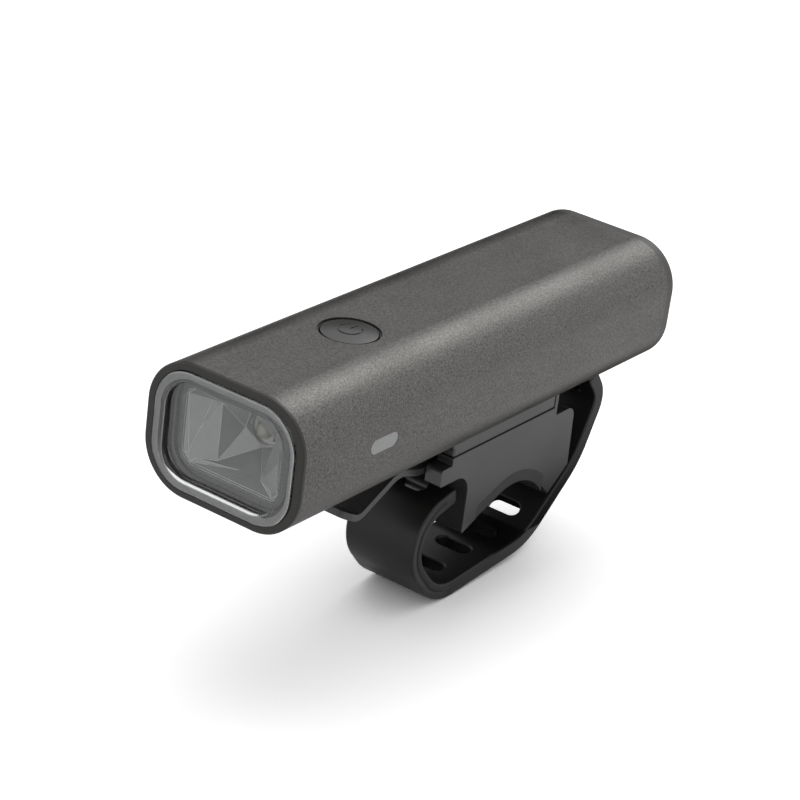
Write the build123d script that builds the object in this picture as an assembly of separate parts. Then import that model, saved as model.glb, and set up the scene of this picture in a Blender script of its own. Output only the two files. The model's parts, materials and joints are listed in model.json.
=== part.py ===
from build123d import *
from math import hypot, radians, sin, sqrt
import os

# Bike headlight on a strap mount, in millimetres.
# The origin is on the handlebar's axis, X runs along the bar, -Y is the way the light shines, +Z is up.

# Lamp body: an extruded tube of rounded section
lamp_width = 31.0
lamp_height = 22.8
lamp_length = 107.0
front_reach = 74.1
corner_radius = 8.4
shell_wall = 1.5

# Clearances
fit_gap = 0.05
slide_gap = 0.15
cover_gap = 0.1
overrun = 1.0

# Turns of a cylinder on to an axis, in degrees
quarter_turn = 90

# Handlebar, saddle and rail
bar_diameter = 25.4
pad_thickness = 2.1
saddle_web = 9.5
shoe_height = 4.6
bracket_width = 16.0

bar_radius = bar_diameter / 2
arch_radius = bar_radius + pad_thickness
deck_z = arch_radius + saddle_web
belly_z = deck_z + shoe_height
axis_z = belly_z + lamp_height / 2
front_y = -front_reach
rear_y = lamp_length - front_reach

# Front bezel, lens and seals
bezel_flange = 0.8
bezel_chamfer = 0.25
bezel_web = 0.8
bezel_depth = 8.1
bezel_collar_wall = 1.0
collar_gap = 0.15
rebate_wall = 0.7
lens_side_margin = 1.5
lens_top_margin = 1.25
lens_rim_radius = 7.0
lens_bead = 0.4
lens_bead_outer_round = 0.7
lens_bead_inner_round = 0.5
lens_side_band = 2.55
lens_top_band = 1.75
lens_window_radius = 5.0
lens_window_recess = 0.9
lens_plate = 1.3
lens_seal_thickness = 0.4
seal_groove_depth = 0.55
seal_width = 1.2
seal_offset = 4.1

# Reflector and lamp module
reflector_gap = 0.3
reflector_flange = 0.8
reflector_wall = 0.9
reflector_depth = 9.2
reflector_side_band = 2.75
reflector_top_band = 1.9
reflector_lip_radius = 2.6
reflector_lip_depth = 0.9
reflector_ledge = 0.4
reflector_shelf_depth = 2.0
reflector_neck_room = 4.4
reflector_neck_height = 11.2
reflector_neck_radius = 3.7
throat_radius = 3.0
led_hole_radius = 2.6
led_size = 3.4
led_base = 0.6
led_dome_radius = 1.5
led_board_room = 3.0
led_board_height = 14.0
led_board_thickness = 1.2
led_board_radius = 2.0
sink_thickness = 3.3
sink_gap = 0.1
led_screw_inset = 2.0
led_screw_radius = 0.9
led_screw_head_radius = 1.6
led_screw_head_height = 1.0
led_screw_length = 3.6

# Screw ports that the extrusion carries in its corners
port_inset_x = 3.2
port_inset_z = 3.3
port_radius = 2.2
port_hole_radius = 0.85
port_hole_depth = 9.0

# Rear cap, its screws, its seal and the charging port
cap_flange = 2.4
cap_round = 0.8
cap_collar_depth = 2.5
cap_collar_wall = 1.2
cap_screw_head_radius = 1.6
cap_screw_head_height = 1.3
cap_screw_length = 7.0
cap_screw_drive_radius = 0.7
cap_screw_drive_depth = 0.6
cap_rail_reach = 9.5
cap_rail_width = 1.8
cap_rail_height = 1.2
socket_width = 8.94
socket_height = 3.26
socket_depth = 7.3
socket_wall = 0.3
socket_pocket_depth = 6.2
socket_tongue_width = 6.7
socket_tongue_height = 0.7
socket_setback = 0.5
charge_board_width = 19.0
charge_board_length = 12.6
charge_board_thickness = 1.0
cover_width = 12.6
cover_height = 8.2
cover_thickness = 1.2
cover_round = 2.0
cover_plug_depth = 0.4
cover_plug_width = 8.6
cover_plug_height = 3.0
cover_notch_radius = 2.4
cover_notch_depth = 0.9
cover_rib_height = 0.35
cover_rib_width = 5.0
cover_rib_thickness = 0.8
cover_rib_drop = 2.05

# Power button, its ring, the switch and the board
button_y = -44.2
button_hole_radius = 5.25
button_ring_wall = 0.3
button_ring_set_down = 0.4
button_cap_radius = 4.75
button_crown = 0.5
button_edge = 0.15
button_flange_radius = 6.1
button_flange_thickness = 0.6
button_flange_drop = 0.2
button_nub_radius = 1.5
button_mark_radius = 2.0
button_mark_width = 0.35
button_mark_depth = 0.15
button_mark_gap_angle = 34.0
plunger_radius = 1.2
plunger_gap = 0.05
plunger_seat = 0.9
plunger_round = 0.3
switch_side = 5.2
switch_height = 2.0
board_thickness = 1.0
board_side_gap = 0.9
board_length = 18.5
board_drop = 5.7
tray_thickness = 1.0
tray_leg_thickness = 1.2
tray_leg_inset = 4.4
tray_margin = 0.5
board_screw_radius = 0.8
board_screw_head_radius = 1.5
board_screw_head_height = 0.8
board_screw_inset = 4.2
indicator_length = 3.0
indicator_height = 0.9
indicator_width = 1.4

# Side windows
window_y = -53.3
window_drop = 2.9
window_length = 7.0
window_height = 2.6
window_flange = 0.8
window_flange_thickness = 0.5

# Battery and its cradle
cell_gap = 0.7
cell_front_gap = 2.2
cell_rear_gap = 1.2
cell_cap_radius = 3.2
cell_cap_height = 0.5
cell_edge_round = 0.8
tab_width = 7.0
tab_thickness = 0.2
cradle_end = 1.0
cradle_drop = 2.0
cradle_slot_width = 8.0
cradle_rib_length = 5.6
cradle_slot_count = 3

# Rail shoe under the lamp and its screws
shoe_front = 20.7
shoe_rear = 10.2
shoe_front_wall = 1.3
shoe_rake = 1.9
shoe_rake_height = 3.2
shoe_gap = 0.1
shoe_edge_round = 0.4
shoe_edge_chamfer = 0.3
rail_neck_width = 6.4
rail_neck_height = 1.3
rail_head_width = 10.0
rail_head_height = 1.6
rail_front = 8.5
rail_lead_chamfer = 0.7
rail_screw_radius = 1.0
rail_screw_head_radius = 1.9
rail_screw_head_height = 1.1
rail_screw_setback = 7.2
rail_screw_drive_depth = 0.5

# Bracket: front lugs, leg, foot, rear lug, stop wall and strap horn
stop_wall = 0.9
stop_drop = 0.5
stop_gap = 0.1
lug_reach = 3.0
lug_step = 1.4
lug_height = 3.2
lug_gap = 9.5
lug_round = 0.5
leg_reach = 14.8
leg_thickness = 3.9
leg_tip_z = 7.9
leg_heel_z = 9.4
leg_round = 3.8
arch_flat_start = 5.0
arch_flat_round = 0.6
pad_end_y = 10.0
foot_inner_z = 8.9
foot_tip_y = 12.8
foot_tip_z = 6.2
foot_heel_y = 18.0
foot_heel_z = 10.2
rear_face_y = 17.3
rear_lug_drop = 1.6
rear_lug_round = 2.2
cheek_round = 0.5
deck_chamfer = 0.1
horn_width = 6.8
horn_margin = 1.8
horn_thickness = 1.4
horn_drop = 4.2
horn_lip_height = 1.0
horn_lip_thickness = 1.2
horn_web_length = 3.4
horn_round = 0.4

# Saddle pad
pad_peg_radius = 1.5
pad_peg_height = 1.8
pad_peg_x = 4.0

# Release tongue
hinge_y = -11.5
hinge_drop = 2.4
hinge_bead_radius = 1.5
pocket_floor_drop = 4.9
pocket_rear_share = 0.6
tongue_width = 9.0
tongue_thickness = 1.2
tongue_end_y = -44.8
tongue_low_y = -41.3
tongue_high_y = -31.0
tongue_knee_y = -25.0
tongue_end_drop = 4.2
tongue_low_drop = 5.7
tongue_high_drop = 0.8
tongue_knee_drop = 2.5
tongue_low_round = 3.0
tongue_high_round = 5.0
tongue_knee_round = 6.0
tooth_width = 5.6
tooth_length = 2.3
tooth_height = 1.1
tooth_gap = 0.3
tooth_ramp = 1.2
tongue_corner_round = 2.0

# Strap and its pin
strap_width = 14.5
strap_thickness = 2.9
strap_slack = 12.3
strap_pin_radius = 0.8
strap_pin_length = 13.2
pin_y = -17.6
pin_z = 15.5
boss_width = 4.8
boss_radius = 1.4
boss_gap = 0.25
strap_notch_length = 3.4
strap_slot_width = 7.0
strap_slot_height = 3.0
strap_slot_count = 4
strap_slot_start_share = 0.355
strap_slot_step_share = 0.09
strap_hook_slot_width = 7.8
strap_hook_gap = 0.5
strap_split_share = 0.66
strap_split_end_share = 0.02
strap_split_width = 0.3
strap_split_depth = 0.4
strap_line_shares = [(0.897, 0.948), (1.028, 0.782), (0.832, 0.354), (0.328, -0.072), (-0.69, -0.142),
                     (-1.006, 0.212), (-0.95, 0.437), (-0.827, 0.535)]
strap_rounds = [4.5, 16.0, 13.0, 10.5, 8.0, 5.0, 6.0]

# Sizes and places that follow from those above
inner_half_width = lamp_width / 2 - shell_wall
inner_half_height = lamp_height / 2 - shell_wall
port_x = inner_half_width - port_inset_x
port_z = inner_half_height - port_inset_z
lens_rim_width = lamp_width - 2 * lens_side_margin
lens_rim_height = lamp_height - 2 * lens_top_margin
lens_window_width = lens_rim_width - 2 * lens_side_band
lens_window_height = lens_rim_height - 2 * lens_top_band
led_board_width = 2 * (inner_half_width - led_board_room)
led_screw_x = led_board_width / 2 - led_screw_inset
reflector_neck_width = led_board_width - 2 * reflector_neck_room
board_width = 2 * (inner_half_width - board_side_gap)
board_screw_x = port_x - board_screw_inset
tray_leg_x = port_x - tray_leg_inset
cell_radius = min(inner_half_height, hypot(port_x, port_z) - port_radius) - cell_gap

shell_front = front_y + bezel_flange
shell_rear = rear_y - cap_flange
lens_seat_y = shell_front
lens_back_y = front_y + lens_window_recess + lens_plate
bezel_rear_y = front_y + bezel_depth
reflector_front_y = lens_back_y + reflector_gap
reflector_rear_y = reflector_front_y + reflector_depth
sink_front_y = reflector_rear_y + led_board_thickness
sink_rear_y = sink_front_y + sink_thickness
port_rear_y = shell_rear - cap_collar_depth
inner_top_z = axis_z + inner_half_height
inner_floor_z = axis_z - inner_half_height
board_top_z = inner_top_z - board_drop
board_bottom_z = board_top_z - board_thickness
window_z = board_bottom_z - window_drop
tray_front_y = sink_rear_y + tray_margin
board_front_y = tray_front_y + tray_margin
board_rear_y = board_front_y + board_length
tray_rear_y = board_rear_y + tray_margin
cell_front_y = tray_rear_y + cell_front_gap + cradle_end + tab_thickness
cell_rear_y = shell_rear - charge_board_length - cell_rear_gap - cradle_end - tab_thickness
cell_length = cell_rear_y - cell_front_y
switch_top_z = board_top_z + switch_height
button_flange_top_z = inner_top_z - button_flange_drop
button_nub_z = switch_top_z + plunger_seat * 2
socket_mouth_y = rear_y - cover_thickness - socket_setback
charge_board_top_z = axis_z - socket_height / 2
cover_hinge_y = rear_y - cover_thickness / 2
cover_hinge_z = axis_z + cover_height / 2 - cover_thickness / 2
shoe_front_y = -shoe_front
leg_rear_y = leg_thickness - leg_reach
shoe_bottom_z = deck_z + shoe_gap
hinge_z = deck_z - hinge_drop
horn_bottom_z = belly_z - horn_drop - horn_thickness
loop_reach = arch_radius + strap_slack
horn_reach = loop_reach + horn_margin

lamp_section = (lamp_width, lamp_height, corner_radius)
lens_section = (lens_rim_width, lens_rim_height, lens_rim_radius)
window_section = (lens_window_width, lens_window_height, lens_window_radius)
port_places = [(x, z) for x in (-port_x, port_x) for z in (-port_z, port_z)]


def inset(section, gap):
    """The rounded section drawn in by a gap all round."""
    width, height, radius = section
    return (width - 2 * gap, height - 2 * gap, radius - gap)


cavity_section = inset(lamp_section, shell_wall)
collar_section = inset(cavity_section, collar_gap)
bezel_bore_section = inset(collar_section, bezel_collar_wall)
rebate_section = inset(lamp_section, rebate_wall)


def lamp_block(section, front, rear):
    """A solid of rounded section about the lamp's axis, between two stations along Y."""
    width, height, radius = section
    sketch = Plane.XZ * RectangleRounded(width, height, radius)
    return Pos(0, rear, axis_z) * extrude(sketch, amount=rear - front)


def block(x_range, y_range, z_range):
    """A box between its two corners."""
    spans = (x_range, y_range, z_range)
    middle = [(low + high) / 2 for low, high in spans]
    sides = [high - low for low, high in spans]
    return Pos(*middle) * Box(*sides)


def rod_x(radius, length, y, z):
    """A cylinder along X, centred on x 0."""
    return Pos(0, y, z) * Rot(0, quarter_turn, 0) * Cylinder(radius, length)


def rod_y(radius, front, rear, x, z):
    """A cylinder along Y between two stations."""
    return Pos(x, (front + rear) / 2, z) * Rot(quarter_turn, 0, 0) * Cylinder(radius, rear - front)


def rod_z(radius, bottom, top, x, y):
    """An upright cylinder between two heights."""
    return Pos(x, y, (bottom + top) / 2) * Cylinder(radius, top - bottom)


def side_profile(face, width):
    """A face drawn in Y and Z, given a width along X about the middle."""
    return extrude(Plane.YZ * face, amount=width / 2, both=True)


def ports(radius, front, rear):
    """Cylinders on the four screw ports."""
    return [rod_y(radius, front, rear, x, axis_z + z) for x, z in port_places]


def ring(outer, inner, front, rear):
    """A rounded ring about the lamp's axis."""
    return lamp_block(outer, front, rear) - lamp_block(inner, front - overrun, rear + overrun)


# Body, bezel and lens

def window_slot(side, length, height, inner_x, outer_x):
    """A rounded slot shape in a side wall, from one distance to another off the middle."""
    sketch = Plane.YZ * SlotOverall(length, height)
    slot = Pos(0, window_y, window_z) * extrude(sketch, amount=outer_x - inner_x)
    start = inner_x if side > 0 else -outer_x
    return Pos(start, 0, 0) * slot


def body_shell():
    """The extruded tube, machined for the bezel, the button, the windows, the rail and the rear cap."""
    shell = ring(lamp_section, cavity_section, shell_front, shell_rear)
    for port in ports(port_radius, sink_rear_y, port_rear_y):
        shell += port
    for hole in ports(port_hole_radius, port_rear_y - port_hole_depth, port_rear_y + overrun):
        shell -= hole
    for hole in ports(led_screw_radius, sink_rear_y - overrun, sink_rear_y + led_screw_length):
        shell -= hole
    shell -= lamp_block(rebate_section, shell_front - overrun, shell_front + bezel_web)
    shell -= rod_z(button_hole_radius, axis_z, axis_z + lamp_height, 0, button_y)
    for side in (-1, 1):
        shell -= window_slot(side, window_length, window_height, 0, lamp_width)
    for y in rail_screw_places():
        shell -= rod_z(rail_screw_radius, belly_z - overrun, axis_z, 0, y)
    return shell


def front_bezel():
    """The plastic ring round the lens, with its collar in the tube."""
    flange = lamp_block(lamp_section, front_y, shell_front)
    flange = chamfer(flange.faces().sort_by(Axis.Y)[0].edges(), bezel_chamfer)
    bezel = flange + lamp_block(inset(rebate_section, fit_gap), shell_front, shell_front + bezel_web)
    bezel += lamp_block(collar_section, shell_front, bezel_rear_y)
    bezel -= lamp_block(inset(lens_section, -fit_gap), front_y - overrun, lens_seat_y)
    bezel -= lamp_block(bezel_bore_section, front_y - overrun, bezel_rear_y + overrun)
    groove_front = front_y + seal_offset
    bezel -= ring(inset(collar_section, -overrun), inset(collar_section, seal_groove_depth),
                  groove_front, groove_front + seal_width)
    return bezel


def front_seal():
    """The seal ring in the bezel collar's groove."""
    groove_front = front_y + seal_offset
    return ring(cavity_section, inset(collar_section, seal_groove_depth), groove_front,
                groove_front + seal_width)


def lens():
    """The clear lens: a raised rounded rim, a recessed window and a plug that centres it."""
    bead_y = front_y - lens_bead
    rim_back_y = lens_seat_y - lens_seal_thickness
    rim = lamp_block(lens_section, bead_y, rim_back_y)
    rim -= lamp_block(window_section, bead_y - overrun, rim_back_y + overrun)
    front_edges = rim.faces().sort_by(Axis.Y)[0]
    rim = fillet(front_edges.outer_wire().edges(), lens_bead_outer_round)
    inner_edges = rim.faces().sort_by(Axis.Y)[0].inner_wires()[0].edges()
    rim = fillet(inner_edges, lens_bead_inner_round)
    plug = lamp_block(inset(bezel_bore_section, fit_gap), rim_back_y, lens_back_y)
    plug -= lamp_block(window_section, rim_back_y - overrun, front_y + lens_window_recess)
    return rim + plug


def lens_seal():
    """The flat gasket under the lens rim."""
    return ring(lens_section, bezel_bore_section, lens_seat_y - lens_seal_thickness, lens_seat_y)


# Reflector and the lamp module

def facet_ring(half_width, half_height, shares, y):
    """A closed polygon across the lamp's axis, its points given as shares of two half sizes."""
    points = [(x * half_width, z * half_height) for x, z in shares]
    return Pos(0, y, axis_z) * (Plane.XZ * make_face(Polyline(*points, close=True)))


mouth_right_shares = [(0.31, -1.0), (0.88, -1.0), (1.0, -0.83), (1.0, -0.35), (1.0, 0.82), (0.9, 1.0),
                      (0.29, 1.0)]
shelf_right_shares = [(0.17, -0.8), (0.46, -0.85), (0.5, -0.66), (0.56, -0.33), (0.77, 0.72), (0.67, 0.87),
                      (0.27, 0.91)]
throat_right_shares = [(0.43, -0.9), (1.0, -0.15), (0.98, -0.06), (0.94, 0.1), (0.8, 0.6), (0.67, 0.77),
                       (0.3, 0.95)]


def mirrored(shares):
    """The right-hand points and their mirror images, in one round."""
    return shares + [(-x, z) for x, z in reversed(shares)]


def reflector():
    """The metallised cup: a lip round its mouth, a shelf below and large facets down to the emitter."""
    rim_section = inset(bezel_bore_section, cover_gap)
    flange_rear = reflector_front_y + reflector_flange
    body_section = inset(rim_section, reflector_wall / 2)
    cup = lamp_block(rim_section, reflector_front_y, flange_rear)
    wide = Pos(0, flange_rear, axis_z) * (Plane.XZ * RectangleRounded(*body_section))
    narrow = Pos(0, reflector_rear_y, axis_z) * (
        Plane.XZ * RectangleRounded(reflector_neck_width, reflector_neck_height, reflector_neck_radius))
    cup += loft([wide, narrow])
    lip_width = rim_section[0] - 2 * reflector_side_band
    lip_height = rim_section[1] - 2 * reflector_top_band
    lip_y = reflector_front_y + reflector_lip_depth
    cup -= lamp_block((lip_width, lip_height, reflector_lip_radius), reflector_front_y - overrun, lip_y)
    half_width = lip_width / 2 - reflector_ledge
    half_height = lip_height / 2 - reflector_ledge
    shelf_y = lip_y + reflector_shelf_depth
    throat_y = reflector_rear_y - reflector_wall
    mouth = facet_ring(half_width, half_height, mirrored(mouth_right_shares), lip_y)
    shelf = facet_ring(half_width, half_height, mirrored(shelf_right_shares), shelf_y)
    throat = facet_ring(throat_radius, throat_radius, mirrored(throat_right_shares), throat_y)
    cup -= loft([mouth, shelf], ruled=True)
    cup -= loft([shelf, throat], ruled=True)
    return cup - rod_y(led_hole_radius, throat_y - overrun, reflector_rear_y + overrun, 0, axis_z)


def led_emitter():
    """The emitter: a square base and its clear dome."""
    base_front = reflector_rear_y - led_base
    half = led_size / 2
    emitter = block((-half, half), (base_front, reflector_rear_y), (axis_z - half, axis_z + half))
    dome = Pos(0, base_front, axis_z) * Sphere(led_dome_radius)
    dome &= block((-half, half), (base_front - led_dome_radius, base_front), (axis_z - half, axis_z + half))
    return emitter + dome


def led_board():
    """The metal-core board that carries the emitter."""
    section = (led_board_width, led_board_height, led_board_radius)
    board = lamp_block(section, reflector_rear_y, sink_front_y)
    for x in (-led_screw_x, led_screw_x):
        board -= rod_y(led_screw_radius, reflector_rear_y - overrun, sink_front_y + overrun, x, axis_z)
    return board


def heat_sink():
    """The aluminium slug that spreads the heat into the tube, seated on the screw ports."""
    sink = lamp_block(inset(cavity_section, sink_gap), sink_front_y, sink_rear_y)
    for x in (-led_screw_x, led_screw_x):
        sink -= rod_y(led_screw_radius, sink_front_y - overrun, sink_rear_y + overrun, x, axis_z)
    for hole in ports(led_screw_radius, sink_front_y - overrun, sink_rear_y + overrun):
        sink -= hole
    for hole in ports(led_screw_head_radius + fit_gap, sink_front_y - overrun,
                      sink_front_y + led_screw_head_height):
        sink -= hole
    return sink


def screw_y(radius, head_radius, head_height, length, head_y, direction):
    """A pan-head screw along Y: its head starts at head_y and its shank runs on in the direction."""
    head_end = head_y + direction * head_height
    tip = head_end + direction * length
    head = rod_y(head_radius, min(head_y, head_end), max(head_y, head_end), 0, 0)
    shank = rod_y(radius, min(head_end, tip), max(head_end, tip), 0, 0)
    return head + shank


def led_screws():
    """Two screws that clamp the emitter board to its heat sink."""
    screw = screw_y(led_screw_radius, led_screw_head_radius, led_screw_head_height, led_screw_length,
                    reflector_rear_y - led_screw_head_height, 1)
    return [Pos(x, 0, axis_z) * screw for x in (-led_screw_x, led_screw_x)]


def sink_screws():
    """Four screws that fasten the heat sink to the front ends of the ports."""
    shank = sink_thickness - led_screw_head_height + led_screw_length
    screw = screw_y(led_screw_radius, led_screw_head_radius, led_screw_head_height, shank, sink_front_y, 1)
    return [Pos(x, 0, axis_z + z) * screw for x, z in port_places]


# Board, switch and button

def board_screw_places():
    """Where the board is screwed to its tray, one at each end."""
    inset_y = 2 * board_screw_head_radius
    return [(-board_screw_x, board_rear_y - inset_y), (board_screw_x, board_rear_y - inset_y)]


def main_board():
    """The driver board."""
    half = board_width / 2
    board = block((-half, half), (board_front_y, board_rear_y), (board_bottom_z, board_top_z))
    for x, y in board_screw_places():
        board -= rod_z(board_screw_radius, axis_z, inner_top_z, x, y)
    return board


def board_tray():
    """The tray that holds the driver board up, on two long legs that stand on the tube's floor."""
    half = board_width / 2
    top_z = board_bottom_z
    tray = block((-half, half), (tray_front_y, tray_rear_y), (top_z - tray_thickness, top_z))
    for side in (-1, 1):
        middle = side * tray_leg_x
        leg = (middle - tray_leg_thickness / 2, middle + tray_leg_thickness / 2)
        tray += block(leg, (tray_front_y, tray_rear_y), (inner_floor_z, top_z))
        notch = sorted((side * half, side * (half - indicator_width - tray_leg_thickness)))
        notch_half = window_length / 2
        tray -= block(notch, (window_y - notch_half, window_y + notch_half), (axis_z, top_z + overrun))
    for x, y in board_screw_places():
        tray -= rod_z(board_screw_radius, axis_z, inner_top_z, x, y)
    lip = block((-half, half), (tray_rear_y - tray_margin, tray_rear_y), (top_z, board_top_z))
    return tray + lip


def board_screws():
    """Two screws that hold the driver board."""
    tip = board_bottom_z - tray_thickness
    head_top = board_top_z + board_screw_head_height
    screws = []
    for x, y in board_screw_places():
        head = rod_z(board_screw_head_radius, board_top_z, head_top, x, y)
        screws.append(head + rod_z(board_screw_radius, tip, board_top_z, x, y))
    return screws


def tact_switch():
    """The switch under the button, with the bore that its plunger runs in."""
    half = switch_side / 2
    switch = block((-half, half), (button_y - half, button_y + half), (board_top_z, switch_top_z))
    bore_bottom = switch_top_z - 2 * plunger_seat
    bore = rod_z(plunger_radius + fit_gap, bore_bottom, switch_top_z + overrun, 0, button_y)
    return switch - bore


def switch_plunger():
    """The switch's moving stem."""
    stem = rod_z(plunger_radius, switch_top_z - plunger_seat, button_nub_z - plunger_gap, 0, button_y)
    return fillet(stem.edges().group_by(Axis.Z)[-1], plunger_round)


def indicator_leds():
    """One small side-firing indicator behind each side window."""
    half = board_width / 2
    top = board_bottom_z
    leds = []
    for side in (-1, 1):
        span = sorted((side * half, side * (half - indicator_width)))
        length = indicator_length / 2
        leds.append(block(span, (window_y - length, window_y + length), (top - indicator_height, top)))
    return leds


def side_window(side):
    """The clear plug of a side window and its flange inside the wall."""
    inner_x = inner_half_width
    plug_length = window_length - 2 * fit_gap
    plug_height = window_height - 2 * fit_gap
    plug = window_slot(side, plug_length, plug_height, inner_x, lamp_width / 2)
    flange_length = window_length + 2 * window_flange
    flange_height = window_height + 2 * window_flange
    flange = window_slot(side, flange_length, flange_height, inner_x - window_flange_thickness, inner_x)
    return plug + flange


def power_button():
    """The rubber button: a domed cap with its mark, a flange under the wall and a nub on the switch."""
    shoulder_z = axis_z + lamp_height / 2 - button_edge
    cap = rod_z(button_cap_radius, button_flange_top_z, shoulder_z, 0, button_y)
    dome_radius = (button_cap_radius ** 2 + button_crown ** 2) / (2 * button_crown)
    dome = Pos(0, button_y, shoulder_z + button_crown - dome_radius) * Sphere(dome_radius)
    cap += dome & rod_z(button_cap_radius, shoulder_z, shoulder_z + lamp_height, 0, button_y)
    crown_z = shoulder_z + button_crown
    mark_floor = crown_z - button_mark_depth - button_crown * (button_mark_radius / button_cap_radius) ** 2
    half = button_mark_width / 2
    mark = rod_z(button_mark_radius + half, mark_floor, crown_z + overrun, 0, button_y)
    mark -= rod_z(button_mark_radius - half, mark_floor - overrun, crown_z + 2 * overrun, 0, button_y)
    gap = button_mark_radius * sin(radians(button_mark_gap_angle))
    mark -= block((-gap, gap), (button_y, button_y + 2 * button_mark_radius), (mark_floor, crown_z + overrun))
    mark += block((-half, half), (button_y + half, button_y + button_mark_radius + half),
                  (mark_floor, crown_z + overrun))
    flange_bottom = button_flange_top_z - button_flange_thickness
    button = cap - mark
    button += rod_z(button_flange_radius, flange_bottom, button_flange_top_z, 0, button_y)
    button += rod_z(button_nub_radius, button_nub_z, flange_bottom, 0, button_y)
    return button


def button_ring():
    """The thin ring that lines the button's hole."""
    top = axis_z + lamp_height / 2 - button_ring_set_down
    bore_radius = button_hole_radius - button_ring_wall
    liner = rod_z(button_hole_radius, inner_top_z, top, 0, button_y)
    return liner - rod_z(bore_radius, inner_top_z - overrun, top + overrun, 0, button_y)


# Battery

def battery_cell():
    """The cylindrical cell with its raised positive cap."""
    can = rod_y(cell_radius, cell_front_y, cell_rear_y - cell_cap_height, 0, axis_z)
    can = fillet(can.edges().filter_by(GeomType.CIRCLE), cell_edge_round)
    return can + rod_y(cell_cap_radius, cell_rear_y - cell_cap_height, cell_rear_y, 0, axis_z)


def battery_tab(front, rear):
    """A flat contact strip on one end of the cell, folded down into the cradle."""
    half = tab_width / 2
    reach = sqrt(cell_radius ** 2 - half ** 2)
    return block((-half, half), (front, rear), (axis_z - reach, axis_z + cell_cap_radius))


def battery_cradle():
    """The trough that carries the cell, cut round the screw ports and opened along its floor."""
    front = cell_front_y - cradle_end - tab_thickness
    rear = cell_rear_y + cradle_end + tab_thickness
    cradle = lamp_block(inset(cavity_section, fit_gap), front, rear)
    cradle -= block((-lamp_width, lamp_width), (front - overrun, rear + overrun),
                    (axis_z - cradle_drop, axis_z + lamp_height))
    cradle -= rod_y(cell_radius + fit_gap, cell_front_y - tab_thickness, cell_rear_y + tab_thickness,
                    0, axis_z)
    for port in ports(port_radius + fit_gap, front - overrun, rear + overrun):
        cradle -= port
    pitch = cell_length / cradle_slot_count
    slot_half = (pitch - cradle_rib_length) / 2
    for index in range(cradle_slot_count):
        middle = cell_front_y + pitch * (index + 1 / 2)
        cradle -= block((-cradle_slot_width / 2, cradle_slot_width / 2),
                        (middle - slot_half, middle + slot_half),
                        (belly_z, axis_z))
    return cradle


# Rear cap and charging port

def charge_board():
    """The charging board on the rear cap's rails."""
    half = charge_board_width / 2
    rear = shell_rear
    return block((-half, half), (rear - charge_board_length, rear),
                 (charge_board_top_z - charge_board_thickness, charge_board_top_z))


def usb_socket():
    """The charging socket: a rounded metal shell with its contact tongue."""
    section = (socket_width, socket_height, socket_height / 2 - socket_wall / 2)
    front = socket_mouth_y - socket_depth
    shell = lamp_block(section, front, socket_mouth_y)
    shell -= lamp_block(inset(section, socket_wall), socket_mouth_y - socket_pocket_depth,
                        socket_mouth_y + overrun)
    tongue_width = socket_tongue_width / 2
    tongue_height = socket_tongue_height / 2
    return shell + block((-tongue_width, tongue_width), (front, socket_mouth_y - socket_setback),
                         (axis_z - tongue_height, axis_z + tongue_height))


def cap_screw_seat(radius, depth):
    """Counterbores for the rear screws, from the cap's outer face."""
    return ports(radius, rear_y - depth, rear_y + overrun)


def rear_cap():
    """The end cap: a rounded flange, a collar with screw bosses, rails for the board and the port's seat."""
    flange = lamp_block(lamp_section, shell_rear, rear_y)
    flange = fillet(flange.faces().sort_by(Axis.Y)[-1].edges(), cap_round)
    cap = flange + ring(collar_section, inset(collar_section, cap_collar_wall), port_rear_y, shell_rear)
    envelope = lamp_block(collar_section, port_rear_y, shell_rear)
    for boss in ports(port_radius, port_rear_y, shell_rear):
        cap += boss & envelope
    half = charge_board_width / 2
    board_bottom = charge_board_top_z - charge_board_thickness
    for side in (-1, 1):
        rail = sorted((side * half, side * (half - cap_rail_width)))
        cap += block(rail, (shell_rear - cap_rail_reach, shell_rear),
                     (board_bottom - cap_rail_height, board_bottom))
    for hole in ports(port_hole_radius, port_rear_y - overrun, rear_y + overrun):
        cap -= hole
    for seat in cap_screw_seat(cap_screw_head_radius + fit_gap, cap_screw_head_height + cap_round):
        cap -= seat
    seal_front = port_rear_y + (cap_collar_depth - seal_width) / 2
    cap -= ring(inset(collar_section, -overrun), inset(collar_section, seal_groove_depth),
                seal_front, seal_front + seal_width)
    mouth = (socket_width + 2 * cover_gap, socket_height + 2 * cover_gap, socket_height / 2)
    cap -= lamp_block(mouth, shell_rear - overrun, rear_y + overrun)
    recess = (cover_width + 2 * cover_gap, cover_height + 2 * cover_gap, cover_round + cover_gap)
    cap -= lamp_block(recess, rear_y - cover_thickness, rear_y + overrun)
    notch_z = axis_z - cover_height / 2
    return cap - rod_y(cover_notch_radius, rear_y - cover_notch_depth, rear_y + overrun, 0, notch_z)


def rear_seal():
    """The seal ring in the rear collar's groove."""
    seal_front = port_rear_y + (cap_collar_depth - seal_width) / 2
    return ring(cavity_section, inset(collar_section, seal_groove_depth), seal_front, seal_front + seal_width)


def rear_cap_screws():
    """Four screws through the rear cap into the ports, with their drive recesses."""
    head_y = rear_y - cap_round
    screw = screw_y(port_hole_radius, cap_screw_head_radius, cap_screw_head_height, cap_screw_length,
                    head_y, -1)
    screw -= rod_y(cap_screw_drive_radius, head_y - cap_screw_drive_depth, head_y + overrun, 0, 0)
    return [Pos(x, 0, axis_z + z) * screw for x, z in port_places]


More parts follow.
